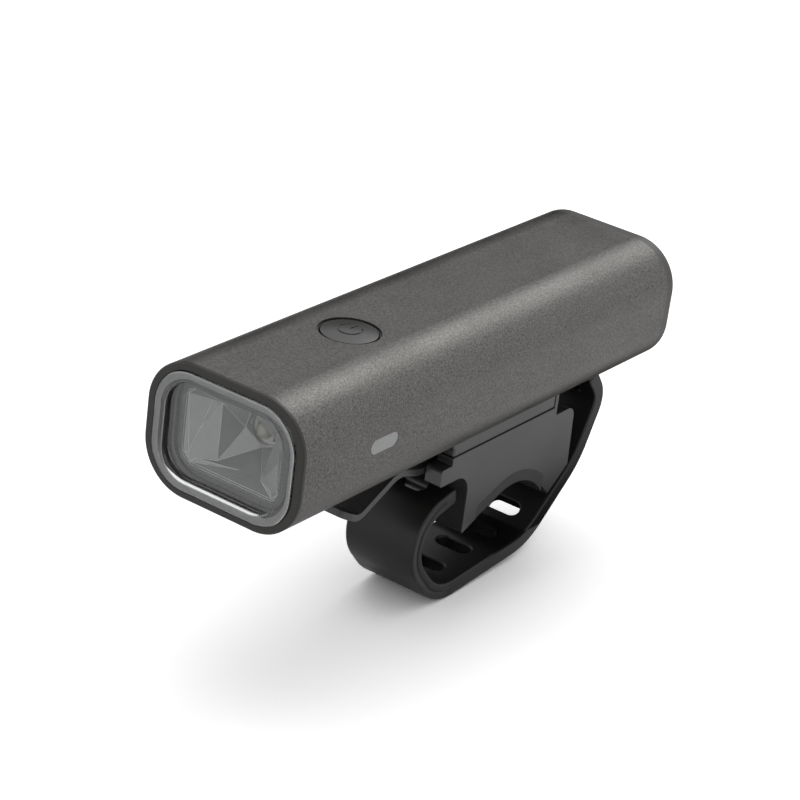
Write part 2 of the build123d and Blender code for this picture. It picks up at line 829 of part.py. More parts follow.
def usb_cover():
    """The rubber flap over the charging port, with its hinge end, shoulders, plug and pull rib."""
    floor_y = rear_y - cover_thickness
    section = (cover_width, cover_height, cover_round)
    flap = lamp_block(section, floor_y, rear_y)
    hinge_radius = cover_thickness / 2
    flap -= block((-cover_width, cover_width), (floor_y - overrun, rear_y + overrun),
                  (cover_hinge_z, axis_z + cover_height))
    shoulder_x = cover_width / 2 - cover_round
    for side in (-1, 1):
        flap -= block(sorted((side * shoulder_x, side * cover_width)), (floor_y - overrun, rear_y + overrun),
                      (cover_hinge_z - cover_thickness, axis_z + cover_height))
    flap += rod_x(hinge_radius, 2 * shoulder_x, cover_hinge_y, cover_hinge_z)
    plug = (cover_plug_width, cover_plug_height, cover_plug_height / 2 - cover_gap)
    flap += lamp_block(plug, floor_y - cover_plug_depth, floor_y)
    rib_half = cover_rib_width / 2
    rib_z = axis_z - cover_rib_drop
    return flap + block((-rib_half, rib_half), (rear_y, rear_y + cover_rib_height),
                        (rib_z - cover_rib_thickness / 2, rib_z + cover_rib_thickness / 2))


# Rail shoe

def rail_screw_places():
    """Stations of the two screws that hold the shoe to the tube."""
    return [shoe_front_y + rail_screw_setback, shoe_rear - rail_screw_setback]


def rail_shoe():
    """The shoe screwed under the lamp: a block with a T-shaped channel, open to the rear."""
    outline = Polyline((shoe_front_y, shoe_bottom_z), (shoe_front_y, belly_z - shoe_rake_height),
                       (shoe_front_y - shoe_rake, belly_z), (shoe_rear, belly_z), (shoe_rear, shoe_bottom_z),
                       close=True)
    shoe = side_profile(make_face(outline), bracket_width)
    corners = [edge for edge in shoe.edges().filter_by(Axis.Y, reverse=True)
               if abs(edge.center().X) > bracket_width / 2 - fit_gap]
    shoe = fillet(corners, shoe_edge_round)
    shoe = chamfer(shoe.faces().sort_by(Axis.Z)[0].edges(), shoe_edge_chamfer)
    channel_y = (shoe_front_y + shoe_front_wall, shoe_rear + overrun)
    neck = rail_neck_width / 2 + slide_gap
    head = rail_head_width / 2 + slide_gap
    head_z = deck_z + rail_neck_height - slide_gap
    roof_z = deck_z + rail_neck_height + rail_head_height + slide_gap
    shoe -= block((-neck, neck), channel_y, (deck_z, roof_z))
    shoe -= block((-head, head), channel_y, (head_z, roof_z))
    for y in rail_screw_places():
        shoe -= rod_z(rail_screw_radius, deck_z, belly_z + overrun, 0, y)
        shoe -= screw_head(y, roof_z)
    return shoe


def screw_head(y, roof_z):
    """The countersunk head of a rail screw, flush with the channel's roof."""
    cone = Cone(rail_screw_head_radius, rail_screw_radius, rail_screw_head_height)
    return Pos(0, y, roof_z + rail_screw_head_height / 2) * cone


def rail_screws():
    """The two countersunk screws of the shoe."""
    roof_z = deck_z + rail_neck_height + rail_head_height + slide_gap
    tip_z = belly_z + shell_wall - fit_gap
    screws = []
    for y in rail_screw_places():
        screw = screw_head(y, roof_z) + rod_z(rail_screw_radius, roof_z + rail_screw_head_height, tip_z, 0, y)
        screw -= rod_z(cap_screw_drive_radius, roof_z - overrun, roof_z + rail_screw_drive_depth, 0, y)
        screws.append(screw)
    return screws


# Bracket

def arch_room(radius, width):
    """The room under the arch at a radius: round over the bar, then flat down to the leg."""
    room = rod_x(radius, width, 0, 0)
    room &= block((-width, width), (leg_rear_y, pad_end_y), (-radius, radius + overrun))
    flat_y = -arch_flat_start * radius / arch_radius
    flat_z = sqrt(radius ** 2 - flat_y ** 2)
    corner_z = flat_z - (leg_rear_y - flat_y) * flat_y / flat_z
    outline = FilletPolyline((flat_y, flat_z), (leg_rear_y, corner_z), (leg_rear_y, 0), (flat_y, 0),
                             radius=[0, arch_flat_round, 0, 0], close=True)
    return room + side_profile(make_face(outline), width)


def bracket_outline():
    """The side view of the saddle: deck, front lug, leg, foot and rear lug."""
    lug_top = deck_z - lug_step
    lug_bottom = lug_top - lug_height
    lug_y = shoe_front_y - lug_reach
    stop_y = shoe_rear + stop_gap
    points = [
        (shoe_front_y, deck_z),
        (shoe_front_y, lug_top),
        (lug_y, lug_top),
        (lug_y, lug_bottom),
        (-leg_reach, lug_bottom),
        (-leg_reach, leg_tip_z),
        (leg_rear_y, leg_heel_z),
        (pad_end_y, foot_inner_z),
        (foot_tip_y, foot_tip_z),
        (foot_heel_y, foot_heel_z),
        (rear_face_y, deck_z - rear_lug_drop),
        (stop_y + stop_wall, deck_z - rear_lug_drop),
        (stop_y + stop_wall, belly_z - stop_drop),
        (stop_y, belly_z - stop_drop),
        (stop_y, deck_z),
    ]
    tip_round = lug_round / 2
    rounds = [0, tip_round, lug_round, lug_round, leg_round, tip_round, tip_round, 0, 0, 0,
              rear_lug_round, tip_round, tip_round, tip_round, 0]
    return make_face(FilletPolyline(*points, radius=rounds, close=True))


def bracket_horn():
    """The horn at the rear that the strap hooks over, with its web and its upturned lip."""
    start = shoe_rear + stop_gap + stop_wall / 2
    web_z = deck_z - rear_lug_drop - overrun / 2
    top_z = horn_bottom_z + horn_thickness
    points = [
        (start, web_z),
        (rear_face_y - rear_lug_round, web_z),
        (rear_face_y - rear_lug_round + horn_web_length, horn_bottom_z),
        (horn_reach, horn_bottom_z),
        (horn_reach, top_z + horn_lip_height),
        (horn_reach - horn_lip_thickness, top_z + horn_lip_height),
        (horn_reach - horn_lip_thickness, top_z),
        (start, top_z),
    ]
    rounds = [0, 0, horn_web_length / 2, horn_round, horn_round, horn_round, horn_round, 0]
    return side_profile(make_face(FilletPolyline(*points, radius=rounds, close=True)), horn_width)


def t_rail():
    """The T-shaped rail on the deck that the shoe slides on."""
    span = (-rail_front, shoe_rear + stop_gap)
    neck = rail_neck_width / 2
    head = rail_head_width / 2
    neck_top = deck_z + rail_neck_height
    rail = block((-neck, neck), span, (deck_z - overrun, neck_top))
    cap = block((-head, head), span, (neck_top, neck_top + rail_head_height))
    lead = cap.faces().sort_by(Axis.Y)[0].edges()
    return rail + chamfer(lead, rail_lead_chamfer)


def strap_boss():
    """The boss on the leg that carries the strap's pin."""
    bar = block((-boss_width / 2, boss_width / 2), (pin_y, -leg_reach),
                (pin_z - boss_radius, pin_z + boss_radius))
    return bar + rod_x(boss_radius, boss_width, pin_y, pin_z)


def bracket():
    """The moulded saddle: two cheeks and a web over the bar, the rail, the lugs, the boss and the horn."""
    saddle = side_profile(bracket_outline(), bracket_width)
    heel = [edge for edge in saddle.edges().filter_by(GeomType.LINE)
            if foot_tip_y < edge.center().Y < foot_heel_y and foot_tip_z < edge.center().Z < foot_heel_z
            and edge.length < bracket_width / 2]
    saddle = chamfer(heel, cheek_round)
    deck_edges = [edge for edge in saddle.edges().filter_by(Axis.Y)
                  if abs(edge.center().Z - deck_z) < fit_gap and shoe_front_y < edge.center().Y < shoe_rear]
    saddle = chamfer(deck_edges, deck_chamfer)
    saddle -= arch_room(arch_radius, bracket_width + overrun)
    gap = lug_gap / 2
    floor_z = deck_z - pocket_floor_drop
    pocket_rear = hinge_y - hinge_bead_radius * pocket_rear_share
    saddle -= block((-gap, gap), (shoe_front_y - lug_reach - overrun, pocket_rear),
                    (floor_z, deck_z + overrun))
    groove = rod_x(hinge_bead_radius + fit_gap, lug_gap, hinge_y, hinge_z)
    saddle -= groove
    saddle += t_rail() + bracket_horn() + strap_boss()
    saddle -= rod_x(strap_pin_radius, strap_pin_length, pin_y, pin_z)
    for x in (-pad_peg_x, pad_peg_x):
        saddle -= rod_z(pad_peg_radius, 0, arch_radius + pad_peg_height, x, 0)
    return saddle


def saddle_pad():
    """The soft pad in the arch, with the two pegs that hold it."""
    pad = arch_room(arch_radius, bracket_width) - arch_room(bar_radius, bracket_width + overrun)
    pad &= block((-bracket_width, bracket_width), (leg_rear_y, pad_end_y), (leg_tip_z, arch_radius + overrun))
    for x in (-pad_peg_x, pad_peg_x):
        pad += rod_z(pad_peg_radius, bar_radius + pad_thickness / 2, arch_radius + pad_peg_height, x, 0)
    return pad


# Release tongue

def tongue_line():
    """The middle of the tongue's leaf, from its tip to its bead."""
    points = [
        (tongue_end_y, deck_z - tongue_end_drop),
        (tongue_low_y, deck_z - tongue_low_drop),
        (tongue_high_y, deck_z - tongue_high_drop),
        (tongue_knee_y, deck_z - tongue_knee_drop),
        (hinge_y, hinge_z),
    ]
    return FilletPolyline(*points, radius=[tongue_low_round, tongue_high_round, tongue_knee_round])


def release_tongue():
    """The springy leaf that latches the lamp: a curved blade, a tooth and the bead it turns on."""
    leaf = side_profile(trace(tongue_line(), line_width=tongue_thickness), tongue_width)
    tip_edges = leaf.edges().filter_by(Axis.X, reverse=True).group_by(Axis.Y)[0]
    corners = [edge for edge in tip_edges if abs(edge.center().X) > tongue_width / 2 - fit_gap]
    leaf = fillet(corners, tongue_corner_round)
    leaf += rod_x(hinge_bead_radius, tongue_width, hinge_y, hinge_z)
    rear = shoe_front_y - tooth_gap
    front = rear - tooth_length
    base = deck_z - tongue_knee_drop
    top = deck_z + tooth_height
    outline = Polyline((front, base), (front, top - tooth_ramp), (front + tooth_ramp, top), (rear, top),
                       (rear, base), close=True)
    return leaf + side_profile(make_face(outline), tooth_width)


# Strap

def strap_line():
    """The middle of the strap in Y and Z, from its hooked rear end round under the bar to the front pin."""
    points = [(y * loop_reach, z * loop_reach) for y, z in strap_line_shares] + [(pin_y, pin_z)]
    return FilletPolyline(*points, radius=strap_rounds)


def strap_slot(line, share):
    """A rounded slot across the strap, square to it at a share of its length."""
    place = line @ share
    along = line % share
    across = Plane(origin=(0, place.X, place.Y), x_dir=(1, 0, 0), z_dir=(0, -along.Y, along.X))
    slot = across * SlotOverall(strap_slot_width, strap_slot_height)
    return extrude(slot, amount=strap_thickness, both=True)


def strap():
    """The rubber ladder strap: a loop with its slots, a hook slot at the rear and a split front end."""
    line = strap_line()
    band = make_face(offset(line, amount=strap_thickness / 2, kind=Kind.ARC, side=Side.BOTH))
    loop = side_profile(band, strap_width)
    for index in range(strap_slot_count):
        loop -= strap_slot(line, strap_slot_start_share + index * strap_slot_step_share)
    hook = strap_hook_slot_width / 2
    loop -= block((-hook, hook), (rear_face_y, horn_reach + overrun),
                  (horn_bottom_z - strap_hook_gap, horn_bottom_z + horn_thickness + strap_hook_gap))
    notch = boss_width / 2 + boss_gap
    loop -= block((-notch, notch), (pin_y - strap_notch_length, -leg_reach),
                  (pin_z - strap_notch_length, pin_z + strap_notch_length))
    loop -= rod_x(strap_pin_radius + fit_gap, strap_width + overrun, pin_y, pin_z)
    split_line = line.trim(strap_split_share, 1 - strap_split_end_share)
    split = side_profile(trace(split_line, line_width=strap_split_width), strap_width + overrun)
    core = strap_width / 2 - strap_split_depth
    split -= block((-core, core), (-2 * loop_reach, 2 * loop_reach), (-2 * loop_reach, 2 * loop_reach))
    return loop - split


def strap_pin():
    """The steel pin through the boss and the strap's two front knuckles."""
    return rod_x(strap_pin_radius, strap_pin_length, pin_y, pin_z)


parts = {
    "body_shell": body_shell(),
    "front_bezel": front_bezel(),
    "front_seal": front_seal(),
    "lens": lens(),
    "lens_seal": lens_seal(),
    "reflector": reflector(),
    "led_emitter": led_emitter(),
    "led_board": led_board(),
    "led_screws": led_screws(),
    "heat_sink": heat_sink(),
    "sink_screws": sink_screws(),
    "main_board": main_board(),
    "board_tray": board_tray(),
    "board_screws": board_screws(),
    "tact_switch": tact_switch(),
    "switch_plunger": switch_plunger(),
    "indicator_leds": indicator_leds(),
    "side_window_left": side_window(-1),
    "side_window_right": side_window(1),
    "power_button": power_button(),
    "button_ring": button_ring(),
    "battery_cell": battery_cell(),
    "battery_tab_front": battery_tab(cell_front_y - tab_thickness, cell_front_y),
    "battery_tab_rear": battery_tab(cell_rear_y, cell_rear_y + tab_thickness),
    "battery_cradle": battery_cradle(),
    "charge_board": charge_board(),
    "usb_socket": usb_socket(),
    "rear_cap": rear_cap(),
    "rear_seal": rear_seal(),
    "rear_cap_screws": rear_cap_screws(),
    "usb_cover": usb_cover(),
    "rail_shoe": rail_shoe(),
    "rail_screws": rail_screws(),
    "bracket": bracket(),
    "saddle_pad": saddle_pad(),
    "release_tongue": release_tongue(),
    "strap": strap(),
    "strap_pin": strap_pin(),
}

os.makedirs("parts", exist_ok=True)
for name, solid in parts.items():
    if isinstance(solid, list):
        solid = Compound(children=solid)
    export_step(solid, f"parts/{name}.step")
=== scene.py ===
import json
from math import acos, atan2, copysign, cos, hypot, pi, radians, sin, sqrt, tan

import bmesh
import bpy
import numpy as np
from mathutils import Matrix, Vector


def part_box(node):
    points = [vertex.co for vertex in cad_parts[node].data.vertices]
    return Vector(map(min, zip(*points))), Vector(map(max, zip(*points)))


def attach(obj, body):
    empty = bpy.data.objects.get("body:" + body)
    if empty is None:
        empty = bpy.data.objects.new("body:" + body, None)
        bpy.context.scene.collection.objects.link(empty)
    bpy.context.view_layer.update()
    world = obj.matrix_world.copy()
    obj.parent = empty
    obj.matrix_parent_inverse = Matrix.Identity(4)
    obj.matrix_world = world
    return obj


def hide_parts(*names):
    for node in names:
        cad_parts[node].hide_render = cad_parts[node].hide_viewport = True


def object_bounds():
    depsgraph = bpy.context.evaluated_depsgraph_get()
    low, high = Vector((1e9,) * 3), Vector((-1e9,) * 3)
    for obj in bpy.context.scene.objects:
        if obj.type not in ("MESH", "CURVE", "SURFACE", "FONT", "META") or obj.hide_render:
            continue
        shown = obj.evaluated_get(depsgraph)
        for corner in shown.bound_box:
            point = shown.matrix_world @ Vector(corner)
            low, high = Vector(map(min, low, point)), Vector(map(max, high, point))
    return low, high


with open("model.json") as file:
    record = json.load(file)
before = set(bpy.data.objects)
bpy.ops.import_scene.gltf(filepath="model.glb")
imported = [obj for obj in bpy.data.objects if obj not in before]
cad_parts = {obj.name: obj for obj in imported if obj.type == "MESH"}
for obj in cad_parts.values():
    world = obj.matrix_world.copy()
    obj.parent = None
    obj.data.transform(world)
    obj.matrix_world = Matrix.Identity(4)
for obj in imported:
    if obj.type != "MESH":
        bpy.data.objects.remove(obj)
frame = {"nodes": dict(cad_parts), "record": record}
nodes = frame["nodes"]
cad_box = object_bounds()

MM = 0.001

# Camera fitted to the photograph, in metres and the photo's pixels
AZIMUTH = radians(33.49)
ELEVATION = radians(24.73)
ROLL = radians(7.58)
DISTANCE = 0.4107
SLIDE_RIGHT = 0.0271
SLIDE_UP = 0.0074
PHOTO_WIDTH = 800
FOCAL_PIXELS = 2696
SENSOR_WIDTH = 36.0
CLIP_START = 0.01

# Stage, in metres: the lamps aim at a point inside the body
FLOOR_GAP = 0.0001
FLOOR_SIZE = 8.0
FLOOR_COLOUR = (0.9, 0.9, 0.9, 1)
FLOOR_SEEN = (1.35, 1.35, 1.35, 1)
WHITE = (1, 1, 1, 1)
WORLD_STRENGTH = 0.7
FLAG_AND_PAINTED_SHADE_COLOUR = (0.02, 0.02, 0.02, 1)
STAGE_MATT = 0.9
FLOOR_SHEEN = 0.1
STAGE_AIM = (0, -0.02, 0.03)

# Finishes: roughness varies by a share each way, in spots that are so many times broader than the grain
ROUGHNESS_SHARE = 0.1
BROAD_GRAIN = 40

# Noise levels that are stretched over a whole range
NOISE_RANGE = (0.3, 0.7)

# Cosines between the rounded and the flat normal, from a sharp edge to a flat
FACING_RANGE = (0.985, 0.999)
SOFT_SAMPLES = 4
EDGE_SAMPLES = 8

# Lamp's axis, in millimetres
AXIS_Z = 40.3

# Gasket under the lens rim, in millimetres: sections as width, height and corner radius
GASKET_OUTER = (27.98, 20.28, 6.99)
GASKET_INNER = (25.7, 17.5, 5.75)
GASKET_FRONT_Y = -73.67
GASKET_BACK_Y = -73.3

# Reflector, in millimetres: sections as width, height and corner radius, and depths behind its front face
REFLECTOR_FRONT_Y = -71.6
REFLECTOR_RIM = (25.5, 17.3, 5.65)
REFLECTOR_BODY = (24.6, 16.4, 5.2)
REFLECTOR_NECK = (11.2, 11.2, 3.7)
REFLECTOR_LIP = (20.0, 13.5, 2.6)
FLANGE_DEPTH = 0.8
LIP_DEPTH = 0.9
THROAT_DEPTH = 8.3
REAR_DEPTH = 9.2
EMITTER_HOLE_RADIUS = 2.6

# Edges are rolled where two facets meet at more than this angle
FACET_EDGE = 0.3
CREASE_ANGLE = radians(8)

# Reflector facets: the corners of its right half as x, height over the axis and depth
FACET_CORNERS = {
    "mouth_low": (0, -6.35, 0.9), "mouth_foot": (8.2, -6.35, 0.9), "mouth_side_low": (9.6, -5.0, 0.9),
    "mouth_side_high": (9.6, 5.0, 0.9), "mouth_head": (8.2, 6.35, 0.9), "mouth_high": (0, 6.35, 0.9),
    "shelf_middle": (0, -5.3, 3.0), "shelf_end": (4.4, -5.4, 2.9), "corner_foot": (7.7, -5.7, 1.5),
    "corner_side": (8.85, -4.9, 1.2), "side_middle": (7.8, -0.8, 2.25), "side_high": (6.74, 4.07, 3.43),
    "crown_end": (5.7, 3.6, 4.56), "crown_middle": (0, 5.0, 4.4), "throat_low": (0, -3.0, 8.3),
    "throat_foot": (2.15, -2.15, 8.3), "throat_side": (3.0, -0.45, 7.5), "throat_waist": (2.9, 0.9, 8.2),
    "throat_head": (2.15, 2.15, 8.3), "throat_high": (0, 3.0, 8.3),
}
FACETS = [
    ("mouth_low", "mouth_foot", "corner_foot", "shelf_end", "shelf_middle"),
    ("mouth_foot", "mouth_side_low", "corner_side", "corner_foot"),
    ("mouth_side_low", "mouth_side_high", "side_high", "side_middle", "corner_side"),
    ("mouth_side_high", "mouth_head", "crown_end", "side_high"),
    ("mouth_head", "mouth_high", "crown_middle", "crown_end"),
    ("corner_foot", "corner_side", "side_middle", "side_high", "crown_end", "throat_side", "shelf_end"),
    ("crown_end", "crown_middle", "throat_high", "throat_head", "throat_waist", "throat_side"),
    ("shelf_middle", "shelf_end", "throat_side", "throat_foot", "throat_low"),
]
MOUTH_RING = ("mouth_low", "mouth_foot", "mouth_side_low", "mouth_side_high", "mouth_head", "mouth_high")
THROAT_RING = ("throat_low", "throat_foot", "throat_side", "throat_waist", "throat_head", "throat_high")

# Reflector's looks, in metres: where its flange of painted shade ends, and the painted highlight lines along
# its creases
FLANGE_BACK_Y = -71.55 * MM
FLANGE_SHADE_COLOUR = (0.1, 0.1, 0.105, 1)
CREASE_HIGHLIGHT_COLOUR = (0.85, 0.85, 0.86, 1)
CREASE_HIGHLIGHT_WIDTH = 0.09 * MM

# Strap, in millimetres, along the same route as the CAD strap
LOOP_REACH = 27.1
STRAP_PIN = (-17.6, 15.5)
STRAP_LINE_SHARES = [(0.897, 0.948), (1.028, 0.782), (0.832, 0.354), (0.328, -0.072), (-0.69, -0.142),
                     (-1.006, 0.212), (-0.95, 0.437), (-0.827, 0.535)]
STRAP_ROUNDS = [4.5, 16.0, 13.0, 10.5, 8.0, 5.0, 6.0]
STRAP_WIDTH = 14.5
STRAP_THICKNESS = 2.9
STRAP_EDGE = 0.4
STRAP_CORNER = 1.2
STRAP_STEP = 0.7
SLOT_WIDTH = 7.0
SLOT_HEIGHT = 3.0
SLOT_COUNT = 4
SLOT_START_SHARE = 0.355
SLOT_STEP_SHARE = 0.09
HOOK_SLOT_WIDTH = 7.8
HOOK_SLOT_START = -0.1
HOOK_SLOT_END = 4.5
FORK_GAP = 5.3
FORK_LENGTH = 3.45
SPLIT_START_SHARE = 0.66
SPLIT_END_SHARE = 0.98
SPLIT_DEPTH = 0.35
SPLIT_HALF = 0.12
CUT_REACH = 0.00001
WELD_REACH = 0.0001

# Points of the bent strap that lie closer than this become one, in metres
BENT_WELD_REACH = 0.002 * MM

# Every rounded corner is drawn in so many steps
ARC_STEPS = 10


# Shader helpers

class Shading:
    """Short calls for the nodes that materials and the world share."""

    def __init__(self, tree):
        self.tree = tree

    def node(self, kind, **values):
        """A new node with its properties set."""
        made = self.tree.nodes.new(kind)
        for key, value in values.items():
            setattr(made, key, value)
        return made

    def link(self, source, target):
        """Joins two sockets."""
        self.tree.links.new(source, target)

    def blend(self, factor, first, second):
        """The first shader where the factor is 0 and the second where it is 1."""
        mix = self.node("ShaderNodeMixShader")
        self.link(factor, mix.inputs["Fac"])
        self.link(first, mix.inputs[1])
        self.link(second, mix.inputs[2])
        return mix.outputs["Shader"]


class Material(Shading):
    """A node material with short calls for what the finishes share."""

    def __init__(self, name):
        self.material = bpy.data.materials.new(name)
        self.material.use_nodes = True
        super().__init__(self.material.node_tree)
        self.surface = self.tree.nodes["Principled BSDF"]
        self.output = self.tree.nodes["Material Output"]
        self.place = self.node("ShaderNodeTexCoord").outputs["Object"]

    def set(self, **values):
        """Plain values on the surface shader's own sockets."""
        for key, value in values.items():
            self.surface.inputs[key.replace("_", " ")].default_value = value

    def noise(self, size, detail=2.0, stretch=(1, 1, 1)):
        """Noise whose grains are about size metres across, as a value from 0 to 1."""
        mapping = self.node("ShaderNodeMapping")
        mapping.inputs["Scale"].default_value = stretch
        self.link(self.place, mapping.inputs["Vector"])
        noise = self.node("ShaderNodeTexNoise")
        noise.inputs["Scale"].default_value = 1 / size
        noise.inputs["Detail"].default_value = detail
        self.link(mapping.outputs["Vector"], noise.inputs["Vector"])
        return noise.outputs["Fac"]

    def spread(self, value, taken, given):
        """A value mapped from one range to another and held within it."""
        ranged = self.node("ShaderNodeMapRange")
        for socket, level in zip(("From Min", "From Max", "To Min", "To Max"), (*taken, *given)):
            ranged.inputs[socket].default_value = level
        self.link(value, ranged.inputs["Value"])
        return ranged.outputs["Result"]

    def tint(self, value, colour, change):
        """Base colour that varies by a share each way with the noise value."""
        mix = self.node("ShaderNodeMix", data_type="RGBA")
        dark, light = [[channel * (1 + step) for channel in colour] + [1] for step in (-change, change)]
        mix.inputs["A"].default_value = dark
        mix.inputs["B"].default_value = light
        self.link(self.spread(value, NOISE_RANGE, (0, 1)), mix.inputs["Factor"])
        self.link(mix.outputs["Result"], self.surface.inputs["Base Color"])

    def roughen(self, value, low, high):
        """Roughness that varies between two levels with the noise value."""
        self.link(self.spread(value, NOISE_RANGE, (low, high)), self.surface.inputs["Roughness"])

    def bump(self, value, depth):
        """Relief of a depth in metres from the noise value."""
        bump = self.node("ShaderNodeBump")
        bump.inputs["Distance"].default_value = depth
        self.link(value, bump.inputs["Height"])
        self.link(bump.outputs["Normal"], self.surface.inputs["Normal"])
        return bump

    def soft_edges(self, bump, radius):
        """Edges that catch the light as if rounded by a radius in metres."""
        bevel = self.node("ShaderNodeBevel", samples=SOFT_SAMPLES)
        bevel.inputs["Radius"].default_value = radius
        self.link(bevel.outputs["Normal"], bump.inputs["Normal"])

    def edge_mask(self, radius):
        """A value that is 1 on the sharp edges, within a radius in metres, and 0 on the flats."""
        bevel = self.node("ShaderNodeBevel", samples=EDGE_SAMPLES)
        bevel.inputs["Radius"].default_value = radius
        flat = self.node("ShaderNodeNewGeometry")
        facing = self.node("ShaderNodeVectorMath", operation="DOT_PRODUCT")
        self.link(bevel.outputs["Normal"], facing.inputs[0])
        self.link(flat.outputs["Normal"], facing.inputs[1])
        return self.spread(facing.outputs["Value"], FACING_RANGE, (1, 0))

    def plain(self, kind, colour):
        """A shader that has no more than a colour."""
        made = self.node(kind)
        made.inputs["Color"].default_value = colour
        return made.outputs["BSDF"]

    def put_out(self, shader):
        """Makes a shader the material's surface."""
        self.link(shader, self.output.inputs["Surface"])

    def for_rays(self, kind, second):
        """Another shader for one kind of ray."""
        path = self.node("ShaderNodeLightPath")
        self.put_out(self.blend(path.outputs[kind], self.surface.outputs["BSDF"], second))

    def seen_white(self, colour):
        """A brighter matt colour for the camera alone, so that a white floor reads as white."""
        self.for_rays("Is Camera Ray", self.plain("ShaderNodeBsdfDiffuse", colour))

    def without_shadow(self, clearness):
        """Lets shadow rays through, so that what lies behind a clear piece is lit."""
        clear = (clearness, clearness, clearness, 1)
        self.for_rays("Is Shadow Ray", self.plain("ShaderNodeBsdfTransparent", clear))


def finish(name, colour, roughness, grain=0.3 * MM, depth=0.004 * MM, change=0.08, metallic=0.0, edge=0.0,
           level=0.5):
    """A moulded or machined finish: grain in its colour, its roughness and its relief."""
    made = Material(name)
    made.set(Metallic=metallic, Specular_IOR_Level=level)
    fine = made.noise(grain)
    broad = made.noise(grain * BROAD_GRAIN, detail=4.0)
    made.tint(fine, colour, change)
    made.roughen(broad, roughness * (1 - ROUGHNESS_SHARE), roughness * (1 + ROUGHNESS_SHARE))
    bump = made.bump(fine, depth)
    if edge:
        made.soft_edges(bump, edge)
    return made


# Finishes of the visible parts

def body_metal():
    """Grey anodised aluminium, bead-blasted to a fine sparkle."""
    return finish("body_metal", colour=(0.125, 0.121, 0.116), roughness=0.42, grain=0.28 * MM,
                  depth=0.014 * MM, change=0.4, metallic=1.0)


def lens_clear():
    """Clear polished plastic with faint moulding waves."""
    made = Material("lens_clear")
    made.set(Base_Color=(0.97, 0.98, 0.98, 1), Roughness=0.0, IOR=1.5, Transmission_Weight=1.0)
    made.bump(made.noise(6 * MM, detail=1.0), depth=0.02 * MM)
    made.without_shadow(clearness=0.9)
    return made


def window_plastic():
    """Milky translucent plastic."""
    made = finish("window_plastic", colour=(0.36, 0.36, 0.36), roughness=0.3, grain=0.8 * MM,
                  depth=0.002 * MM, change=0.05)
    made.set(Transmission_Weight=0.25, Subsurface_Weight=0.3, Subsurface_Scale=1.0 * MM)
    return made


def reflector_metal():
    """Vacuum-metallised plastic with its uneven lacquer, painted highlight lines along its creases, and a
    dark matt flange round it as painted shade.
    """
    made = Material("reflector_metal")
    waves = made.noise(2.5 * MM)
    made.tint(waves, colour=(0.27, 0.273, 0.276), change=0.05)
    made.roughen(waves, low=0.12, high=0.2)
    made.bump(waves, depth=0.01 * MM)
    made.set(Metallic=0.25, Specular_IOR_Level=0.8)
    # Painted highlight: a light matt colour along the facet creases stands in for the glints on their edges
    crease_highlight = made.plain("ShaderNodeBsdfDiffuse", CREASE_HIGHLIGHT_COLOUR)
    crease_highlighted = made.blend(made.edge_mask(CREASE_HIGHLIGHT_WIDTH), made.surface.outputs["BSDF"], crease_highlight)
    depth = made.node("ShaderNodeSeparateXYZ")
    made.link(made.place, depth.inputs["Vector"])
    front = made.node("ShaderNodeMath", operation="LESS_THAN")
    front.inputs[1].default_value = FLANGE_BACK_Y
    made.link(depth.outputs["Y"], front.inputs[0])
    # Painted shade: the flange ahead of the facets is a flat dark matt colour in place of metal, for the
    # shade under the bezel
    shaded_flange = made.plain("ShaderNodeBsdfDiffuse", FLANGE_SHADE_COLOUR)
    made.put_out(made.blend(front.outputs["Value"], crease_highlighted, shaded_flange))
    return made


def emitter_phosphor():
    """The emitter's yellow phosphor under its dome, unlit."""
    made = finish("emitter_phosphor", colour=(0.3, 0.29, 0.23), roughness=0.25, grain=0.12 * MM,
                  change=0.12)
    made.set(Coat_Weight=0.8)
    return made


def button_rubber():
    """Fine matt silicone."""
    return finish("button_rubber", colour=(0.04, 0.039, 0.038), roughness=0.3, grain=0.12 * MM,
                  edge=0.12 * MM)


def board_laminate():
    """Green laminate with the weave of its glass cloth."""
    made = Material("board_laminate")
    weave = made.noise(0.5 * MM, detail=1.0, stretch=(1, 4, 1))
    made.tint(weave, colour=(0.02, 0.13, 0.05), change=0.2)
    made.roughen(weave, low=0.3, high=0.45)
    made.bump(weave, depth=0.01 * MM)
    return made


def cell_sleeve():
    """The cell's shrink sleeve, with faint stretch marks along it."""
    made = Material("cell_sleeve")
    marks = made.noise(1.2 * MM, detail=3.0, stretch=(1, 0.08, 1))
    made.tint(marks, colour=(0.05, 0.16, 0.34), change=0.1)
    made.roughen(marks, low=0.25, high=0.4)
    made.bump(marks, depth=0.02 * MM)
    return made


